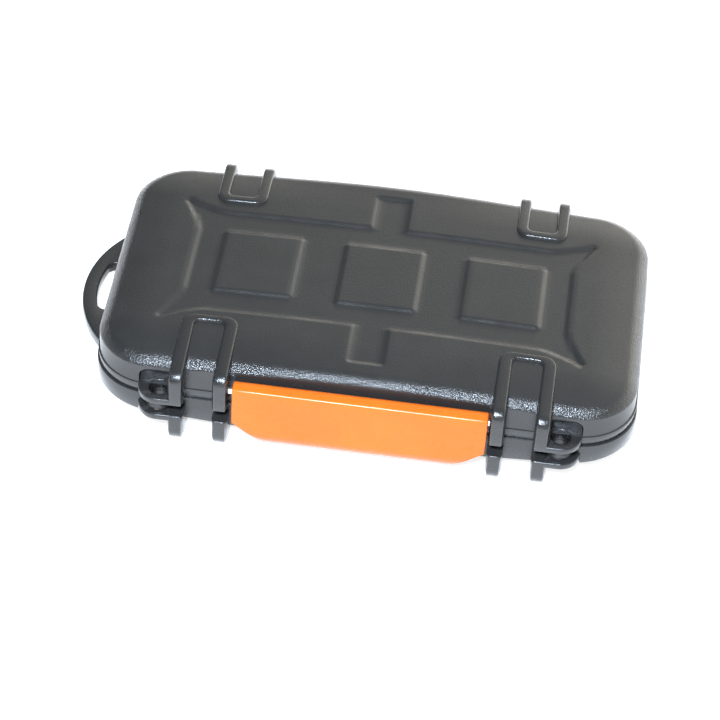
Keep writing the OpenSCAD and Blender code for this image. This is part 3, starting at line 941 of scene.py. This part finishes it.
def cut(piece, skins):
    """Takes closed skins out of a piece, with its finish on the cut faces."""
    cutter = make(f"{piece.name}_cutter", skins, [], piece["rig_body"], piece["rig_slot"])
    step = piece.modifiers.new("cut", "BOOLEAN")
    step.operation, step.object, step.solver = "DIFFERENCE", cutter, "MANIFOLD"
    depsgraph = bpy.context.evaluated_depsgraph_get()
    mesh = bpy.data.meshes.new_from_object(piece.evaluated_get(depsgraph), depsgraph=depsgraph)
    piece.modifiers.clear()
    old, piece.data = piece.data, mesh
    bpy.data.meshes.remove(old)
    bpy.data.objects.remove(cutter)
    mesh.shade_smooth()
    mesh.set_sharp_from_angle(angle=math.radians(CRISP))
    print(f"{piece.name}: {len(mesh.vertices)} points after the cut")


def niche(levels):
    """The hollow in the wall behind a lug, cut off at the frame's leg; levels are (z, inset)."""
    outlines = []
    for z, inset in levels:
        outline = arc((LUG_X, LUG_Y), NICHE_R - inset, -116, 22, 30)
        outlines.append((outline + [(42.0, LUG_Y + 1.85 - inset)], z))
    return stacked(outlines, finish=1)


def shackle_hole(z0, z1):
    return stacked([(lug_hole, z0), (lug_hole, z1)], finish=1)


levels = [(NICHE_Z + NICHE_ROUND - h, d) for d, h in quarter(NICHE_ROUND, 6)[1:]]
lid_niche = niche([(SHACKLE_Z, 0.0), (NICHE_Z, 0.0)] + levels)
base_niche = niche([(-1.0, 0.0), (BASE_LUG_Z + 0.2, 0.0)])
lid_cutters = (lid_niche, shackle_hole(5.5, SHACKLE_Z - 0.01))
base_cutters = (base_niche, shackle_hole(BASE_LUG_Z + 0.21, 11.0))
cut(lid, [part for one in lid_cutters for part in (one, mirror_x(one))])
cut(base, [part for one in base_cutters for part in (one, mirror_x(one))])

# %% [markdown]
# ## Lanyard loop
# The loop for a lanyard is a flat plate on the base's left end, 2.8 mm thick, with a slot
# that follows its round edge. Its outline and its slot are arcs about the same point.

# %% Lanyard loop
LOOP_X, LOOP_R, LOOP_RIM, LOOP_Z0, LOOP_Z1 = -39.8, 28.2, 3.4, 6.6, 9.4
SLOT_X, SLOT_MIDDLE, SLOT_HALF = -60.3, -62.2, 8.0
loop_middle, slot_r = (LOOP_X, 0.0), LOOP_R - LOOP_RIM
reach = 180 - math.degrees(math.acos((CASE_X - 0.1 + LOOP_X) / LOOP_R))
loop_outline = arc(loop_middle, LOOP_R, reach, 360 - reach, 60)
slot_arc = 180 - math.degrees(math.asin((SLOT_HALF - 1.0) / slot_r))
slot = arc(loop_middle, slot_r, slot_arc, 360 - slot_arc, 30)
slot_end = [(SLOT_MIDDLE - 0.7, -SLOT_HALF + 0.3), (SLOT_MIDDLE, -SLOT_HALF), (SLOT_X, -SLOT_HALF)]
slot += slot_end + [(x, -y) for x, y in reversed(slot_end)]
loop_skin = pierced_plate(loop_outline, slot, (SLOT_MIDDLE, 0.0), LOOP_Z0, LOOP_Z1, 0.5)
moulding("lanyard_loop", [loop_skin], "base")

# %% [markdown]
# ## Hinges
# Each rear frame ends in two knuckles with the base's knuckle between them, on a steel pin.
# They are turned profiles with a small chamfer, and the base's one stands on a web.

# %% Hinge knuckles
HINGE = (37.2, 9.5)
KNUCKLE_R, CHAMFER, PIN_R = 2.35, 0.25, 0.8
ARM_SPANS, ARM_BORE, MIDDLE_SPAN = ((28.8, 32.0), (37.9, 41.1)), 0.86, (32.3, 37.6)


def knuckle(x0, x1, bore):
    """A knuckle with chamfered ends; its bore is left open for the pin."""
    start = [(x0, bore), (x0, KNUCKLE_R - CHAMFER), (x0 + 0.08, KNUCKLE_R - 0.08),
             (x0 + CHAMFER, KNUCKLE_R)]
    profile = start + [(x0 + x1 - x, r) for x, r in reversed(start)] + start[:1]
    return rod(profile, HINGE, 48, capped=False)


def drawn_in(outline, inset):
    """An anticlockwise outline moved inwards along its own normals."""
    before, after = outline - np.roll(outline, 1, axis=0), np.roll(outline, -1, axis=0) - outline
    along = before / np.hypot(*before.T)[:, None] + after / np.hypot(*after.T)[:, None]
    inwards = np.column_stack([-along[:, 1], along[:, 0]])
    return outline + inwards / np.hypot(*inwards.T)[:, None] * inset


def prism(outline, x0, x1, chamfer):
    """A prism along X with chamfered ends; outline is (y, z), anticlockwise."""
    ends = ((x0, chamfer), (x0 + chamfer, 0), (x1 - chamfer, 0), (x1, chamfer))
    rings = [np.column_stack([np.full(len(outline), x), drawn_in(outline, inset)]) for x, inset in ends]
    return weave(rings, capped=True)


web = [(33.2, 3.2), (34.6, 3.2), (36.9, 6.2), (39.3, 8.6), (37.2, 9.9), (35.0, 9.35), (33.2, 9.35)]
for side_name, place in BOTH_SIDES:
    arms = [knuckle(*ends, ARM_BORE) for ends in ARM_SPANS]
    moulding(f"lid_knuckles_{side_name}", [place(s) for s in arms], "lid")
    middle = [knuckle(*MIDDLE_SPAN, PIN_R), prism(np.array(web), *MIDDLE_SPAN, CHAMFER)]
    moulding(f"base_knuckle_{side_name}", [place(s) for s in middle], "base")

# %% [markdown]
# ## Latch
# The latch is one bar of orange plastic: a flat top that ends in a tight brow, an upright
# face whose foot curves in for the thumb, and a lip that hooks under the base. It could be
# extruded from a curve, but its foot is also cut back at both corners, so its section is
# laid along X with a half-length that shrinks towards the foot. Its ends are rounded by
# moving the section inwards.

# %% Latch
LATCH_Y, LATCH_Z, BARREL_R, LATCH_HALF, LATCH_MIDDLE = -36.6, 16.0, 2.2, 28.05, 0.3
FACE_Y, BACK_Y, BROW_R, FOOT_Z, CHAMFER_Z, CHAMFER_X = -38.8, -37.2, 0.7, 3.0, 8.3, 21.0
LIP_Y, LIP_Z, THUMB_IN, LATCH_ROUND = -35.3, 4.1, 0.9, 0.4
LATCH_AXIS, WIRE_BORE = (LATCH_Y, LATCH_Z), 0.81

barrel = [(LATCH_Y + BARREL_R * math.cos(a), LATCH_Z + BARREL_R * math.sin(a))
          for a in np.radians(np.linspace(-105, 90, 30))]
brow = [(FACE_Y + BROW_R - BROW_R * math.sin(a), LATCH_Z + BARREL_R - BROW_R + BROW_R * math.cos(a))
        for a in np.linspace(0, math.pi / 2, 9)]
face = [(FACE_Y, z) for z in (15.0, 12.0, CHAMFER_Z + 0.05, CHAMFER_Z - 0.05, 7.0, 6.4)]
thumb = [(FACE_Y + THUMB_IN * t * t, 6.0 - 2.8 * t) for t in np.linspace(0, 1, 9)]
lip = [(-37.78, FOOT_Z + 0.07), (-37.6, FOOT_Z), (-36.4, FOOT_Z), (LIP_Y - 0.2, FOOT_Z),
       (LIP_Y - 0.06, FOOT_Z + 0.06), (LIP_Y, FOOT_Z + 0.2), (LIP_Y, LIP_Z - 0.35),
       (LIP_Y - 0.08, LIP_Z - 0.15), (LIP_Y - 0.3, LIP_Z), (BACK_Y + 0.3, LIP_Z),
       (BACK_Y + 0.08, LIP_Z + 0.1)]
lip += [(BACK_Y, z) for z in (LIP_Z + 0.35, 6.5, CHAMFER_Z - 0.05, CHAMFER_Z + 0.05, 12.0)]
latch_section = np.array(barrel + [(LATCH_Y, LATCH_Z + BARREL_R)] + brow + face + thumb + lip)
gaps = np.hypot(*np.diff(latch_section, axis=0).T)
latch_section = latch_section[np.concatenate([[True], gaps > 0.01])]


def half_length(z):
    cut_back = np.clip((CHAMFER_Z - z) / (CHAMFER_Z - FOOT_Z), 0, 1.1)
    return LATCH_HALF - cut_back * (LATCH_HALF - CHAMFER_X)


latch_rings, half = [], half_length(latch_section[:, 1])
spans = [(-1, d, h) for d, h in quarter(LATCH_ROUND)]
spans += [(u, 0.0, 0.0) for u in np.linspace(-0.9, 0.9, 13)]
spans += [(1, d, h) for d, h in reversed(quarter(LATCH_ROUND))]
for u, inset, short in spans:
    x = u * half if abs(u) < 1 else u * (half - inset)
    latch_rings.append(np.column_stack([x + LATCH_MIDDLE, drawn_in(latch_section, short)]))
latch = make("latch_bar", [weave(latch_rings, capped=True)], [orange_finish], "latch", "latch_plastic")
cut(latch, [rod([(-30, WIRE_BORE), (30, WIRE_BORE)], LATCH_AXIS)])

# %% [markdown]
# ## Pins
# The latch turns on a steel wire that shows in the gaps at both of its ends, and each hinge
# has a short pin. A cylinder would do, but a cut wire has its edges broken, so the pins are
# turned profiles. The outer legs of the front frames are drilled for the wire.

# %% Pins
WIRE_R, WIRE_END, BROKEN = 0.75, 31.95, 0.15


def wire(x0, x1, radius, middle):
    ends = (x0, radius - BROKEN), (x0 + BROKEN, radius), (x1 - BROKEN, radius), (x1, radius - BROKEN)
    return rod(ends, middle)


latch_pin = wire(-WIRE_END, WIRE_END, WIRE_R, LATCH_AXIS)
latch_wire = make("latch_wire", [latch_pin], [steel_finish], "lid", "pin_steel")
for frame_piece in lid_frames:
    if "front" in frame_piece.name:
        side = -1 if "left" in frame_piece.name else 1
        cut(frame_piece, [rod([(side * 28, WIRE_BORE), (side * 43, WIRE_BORE)], LATCH_AXIS)])
for side_name, place in BOTH_SIDES:
    pin = place(wire(28.9, 41.0, PIN_R, HINGE))
    make(f"hinge_wire_{side_name}", [pin], [steel_finish], "base", "pin_steel")

# %% [markdown]
# ## Seal
# The ring sits in the lid's groove. A curve with a bevel could make it, but the groove
# follows the walls' plan, so the ring is woven on that plan too, with its own small section.

# %% Seal
SEAL_OUT, SEAL_IN, SEAL_Z0, SEAL_Z1, SEAL_ROUND = 1.85, 2.85, 0.5, 1.55, 0.1
around = [(SEAL_OUT + SEAL_ROUND, SEAL_Z0), (SEAL_IN - SEAL_ROUND, SEAL_Z0),
          (SEAL_IN, SEAL_Z0 + SEAL_ROUND), (SEAL_IN, SEAL_Z1 - SEAL_ROUND)]
turned_round = [(SEAL_OUT + SEAL_IN - inset, SEAL_Z0 + SEAL_Z1 - z) for inset, z in around]
seal_section = around + turned_round + around[:1]
seal_skin = weave([lifted(inset, SEAM_LID + z) for inset, z in seal_section])
seal = make("seal", [seal_skin], [silicone_finish], "lid", "seal_rubber")

# %% [markdown]
# ## Card inserts
# Each half holds a block of closed-cell foam rubber with pockets for four large and eight
# small cards. Foam has no sharp edge anywhere, so the cutter of each pocket is flared at the
# top and rounded at the floor: what it leaves behind is already soft. The finger notches
# are cut afterwards, because a boolean works best with cutters that don't overlap.

# %% Inserts
INSERT_IN, INSERT_ROUND, POCKET_EDGE = 3.7, 0.4, 0.35
FLARE = ((0, 0), (0.175, 0.03), (0.3, 0.12), (0.35, 0.35))
LARGE_X, LARGE_Y, LARGE_AT, LARGE_PITCH, LARGE_DEEP = 12.3, 16.3, -9.9, 27.6, 2.4
SMALL_X, SMALL_Y, SMALL_AT, SMALL_PITCH, SMALL_DEEP = 5.7, 7.7, 18.1, 13.8, 1.4
LARGE_NOTCH, LARGE_NOTCH_AT, SMALL_NOTCH, SMALL_NOTCH_AT, NOTCH_DEEPER = 5, 5.2, 3.2, 25.2, 0.8


def soft_post(half_x, half_y, corner, middle, floor, face):
    """A pocket's cutter: round at its floor, flared where it meets the insert's face."""
    way, outlines = (1 if face > floor else -1), []
    levels = [(-POCKET_EDGE + h, floor + way * d) for h, d in FLARE]
    levels += [(POCKET_EDGE - h, face - way * d) for h, d in reversed(FLARE)]
    levels += [(POCKET_EDGE, face + way)]
    for out, z in levels:
        outline = []
        for sx, sy, start in ((1, -1, -90), (1, 1, 0), (-1, 1, 90), (-1, -1, 180)):
            spot = (middle[0] + sx * (half_x - corner), middle[1] + sy * (half_y - corner))
            outline += arc(spot, corner + out, start, start + 90, 6)
        outlines.append((outline, z))
    return stacked(outlines)


def row(count, pitch, y, half_x, half_y, corner, floor, face):
    """The cutters of a row of pockets or notches."""
    middles = [((k - (count - 1) / 2) * pitch, y) for k in range(count)]
    return [soft_post(half_x, half_y, corner, middle, floor, face) for middle in middles]


def insert(name, body, face, rule, way):
    """A foam block between its flat face and the curved wall of its half, with its pockets."""
    rings = [lifted(CORNER_R, face), lifted(MIDWAY, face)]
    rings += [lifted(INSERT_IN + h, face + way * d) for d, h in reversed(quarter(INSERT_ROUND))]
    rings += [lifted(inset, rule) for inset in (INSERT_IN, MIDWAY, CORNER_R)]
    skins = [weave(rings), deck(lambda x, y: face, FEW_ROWS), deck(rule, FEW_ROWS)]
    piece = make(name, skins, [foam_finish], body, "insert_foam")
    large, small = face + way * LARGE_DEEP, face + way * SMALL_DEEP
    pockets = row(4, LARGE_PITCH, LARGE_AT, LARGE_X, LARGE_Y, 0.8, large, face)
    pockets += row(8, SMALL_PITCH, SMALL_AT, SMALL_X, SMALL_Y, 0.6, small, face)
    cut(piece, pockets)
    large, small = large + way * NOTCH_DEEPER, small + way * NOTCH_DEEPER
    round_large, round_small = LARGE_NOTCH - 0.01, SMALL_NOTCH - 0.01
    notches = row(4, LARGE_PITCH, LARGE_NOTCH_AT, LARGE_NOTCH, LARGE_NOTCH, round_large, large, face)
    notches += row(8, SMALL_PITCH, SMALL_NOTCH_AT, SMALL_NOTCH, SMALL_NOTCH, round_small, small, face)
    cut(piece, notches)
    return piece


base_foam = insert("base_foam", "base", 8.8, lambda x, y: base_ceiling(x, y) + 0.05, -1)
lid_foam = insert("lid_foam", "lid", 10.2, lambda x, y: ceiling(x, y) - 0.05, 1)

# %% [markdown]
# ## Floor
# The case stands on white paper. The paper is white for the camera by its own glow and not
# by a stronger lamp, so it still takes the soft shadow, and the plastic mirrors it. For the
# plastic's reflections the paper glows brighter, and more so behind the case: a painted
# reflection.

# %% Floor
FLOOR_HALF, FLOOR_Z, PAPER = 3, -0.00002, (0.7, 0.7, 0.7, 1)
SEEN_GLOW, NEAR_GLOW, FAR_GLOW, NEAR_Y, FAR_Y = 0.8, 1.25, 2.8, 0.02, 0.2

floor_mesh = bpy.data.meshes.new("floor")
corners = [(x * FLOOR_HALF, y * FLOOR_HALF, FLOOR_Z) for x, y in ((-1, -1), (1, -1), (1, 1), (-1, 1))]
floor_mesh.from_pydata(corners, [], [(0, 1, 2, 3)])
floor = bpy.data.objects.new("floor", floor_mesh)
bpy.context.scene.collection.objects.link(floor)

paper = bpy.data.materials.new("white_paper")
paper.use_nodes = True
tree = paper.node_tree
shader = tree.nodes["Principled BSDF"]
shader.inputs["Base Color"].default_value = PAPER
shader.inputs["Roughness"].default_value = 0.9
shader.inputs["Specular IOR Level"].default_value = 0.0
rays = node(tree, "ShaderNodeLightPath").outputs
lit = reckoned(tree, "MULTIPLY", rays["Is Camera Ray"], SEEN_GLOW)
where = split(tree, node(tree, "ShaderNodeTexCoord").outputs["Object"])
# painted reflection: in the plastic's gloss the paper glows brighter the further it lies behind the case
behind = spread(tree, where["Y"], NEAR_Y, FAR_Y, NEAR_GLOW, FAR_GLOW)
glow = node(tree, "ShaderNodeEmission", Color=(1, 1, 1, 1))
strength = reckoned(tree, "MULTIPLY_ADD", rays["Is Glossy Ray"], behind, lit)
tree.links.new(strength, glow.inputs["Strength"])
add = node(tree, "ShaderNodeAddShader")
tree.links.new(shader.outputs[0], add.inputs[0])
tree.links.new(glow.outputs[0], add.inputs[1])
tree.links.new(add.outputs[0], tree.nodes["Material Output"].inputs["Surface"])
floor_mesh.materials.append(paper)
print("floor:", 2 * FLOOR_HALF, "m wide")

# %% [markdown]
# ## Lamp and room
# One small, cool softbox in front and about 50 degrees up puts the bright spots on the bends
# of the frames and the glitter on the front edge. Black plastic shows little but
# reflections, so the room that it mirrors is shaded: bright near the floor, behind and to
# the right, and dark overhead and to the left. A picture of a studio could do this, but
# four plain ramps are easier to understand and to change.

# %% Lamp
LAMP_SIZE, LAMP_POWER, LAMP_COLOUR = 0.14, 17.0, (0.72, 0.84, 1.0)
LAMP_AT, LAMP_TARGET = Vector((-0.03, -0.50, 0.62)), Vector((0, 0, 0.01))
light = bpy.data.lights.new("softbox_front", "AREA")
light.shape, light.size, light.energy, light.color = "DISK", LAMP_SIZE, LAMP_POWER, LAMP_COLOUR
lamp = bpy.data.objects.new("softbox_front", light)
bpy.context.scene.collection.objects.link(lamp)
facing = (LAMP_AT - LAMP_TARGET).to_track_quat("Z", "Y").to_matrix().to_4x4()
lamp.matrix_world = Matrix.Translation(LAMP_AT) @ facing
print("lamp:", round(math.degrees(math.asin(LAMP_AT.normalized().z))), "degrees up")

# %% Room
world = bpy.data.worlds.new("white_room")
bpy.context.scene.world = world
world.use_nodes = True
tree = world.node_tree
room = tree.nodes["Background"]
room.inputs["Color"].default_value = (1, 1, 1, 1)
room.inputs["Strength"].default_value = 0.5
backdrop = node(tree, "ShaderNodeBackground", Color=(1, 1, 1, 1), Strength=1.0)
mirrored_room = node(tree, "ShaderNodeBackground", Color=(1.0, 0.965, 0.885, 1))
way = split(tree, node(tree, "ShaderNodeTexCoord").outputs["Generated"])
horizon = spread(tree, way["Z"], 0.0, 0.6, 2.3, 0.67)
overhead = spread(tree, way["Z"], 0.62, 0.95, 1.0, 0.5)
from_left = spread(tree, way["X"], -0.42, 0.25, 0.1, 1.62)
from_behind = spread(tree, way["Y"], -0.4, 0.5, 0.35, 1.3)
height = reckoned(tree, "MULTIPLY", horizon, overhead)
strength = reckoned(tree, "MULTIPLY", reckoned(tree, "MULTIPLY", height, from_left), from_behind)
tree.links.new(strength, mirrored_room.inputs["Strength"])


def chosen(tree, share, otherwise, when):
    """One background or the other, by what kind of ray is asking."""
    mix = node(tree, "ShaderNodeMixShader")
    for socket, source in zip(mix.inputs, (share, otherwise, when)):
        tree.links.new(source, socket)
    return mix.outputs[0]


rays = node(tree, "ShaderNodeLightPath").outputs
seen = chosen(tree, rays["Is Glossy Ray"], room.outputs[0], mirrored_room.outputs[0])
seen = chosen(tree, rays["Is Camera Ray"], seen, backdrop.outputs[0])
tree.links.new(seen, tree.nodes["World Output"].inputs["Surface"])
bpy.context.scene.view_settings.view_transform = "Standard"
print("room:", len(tree.nodes), "nodes")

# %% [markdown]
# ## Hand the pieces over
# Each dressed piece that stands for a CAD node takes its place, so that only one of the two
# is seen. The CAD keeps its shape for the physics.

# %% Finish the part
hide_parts("lid_shell")
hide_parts("base_shell")
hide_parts("latch")
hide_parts("latch_pin")
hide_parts("hinge_pin_left")
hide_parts("hinge_pin_right")
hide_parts("seal_ring")
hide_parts("base_insert")
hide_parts("lid_insert")
bpy.context.view_layer.update()
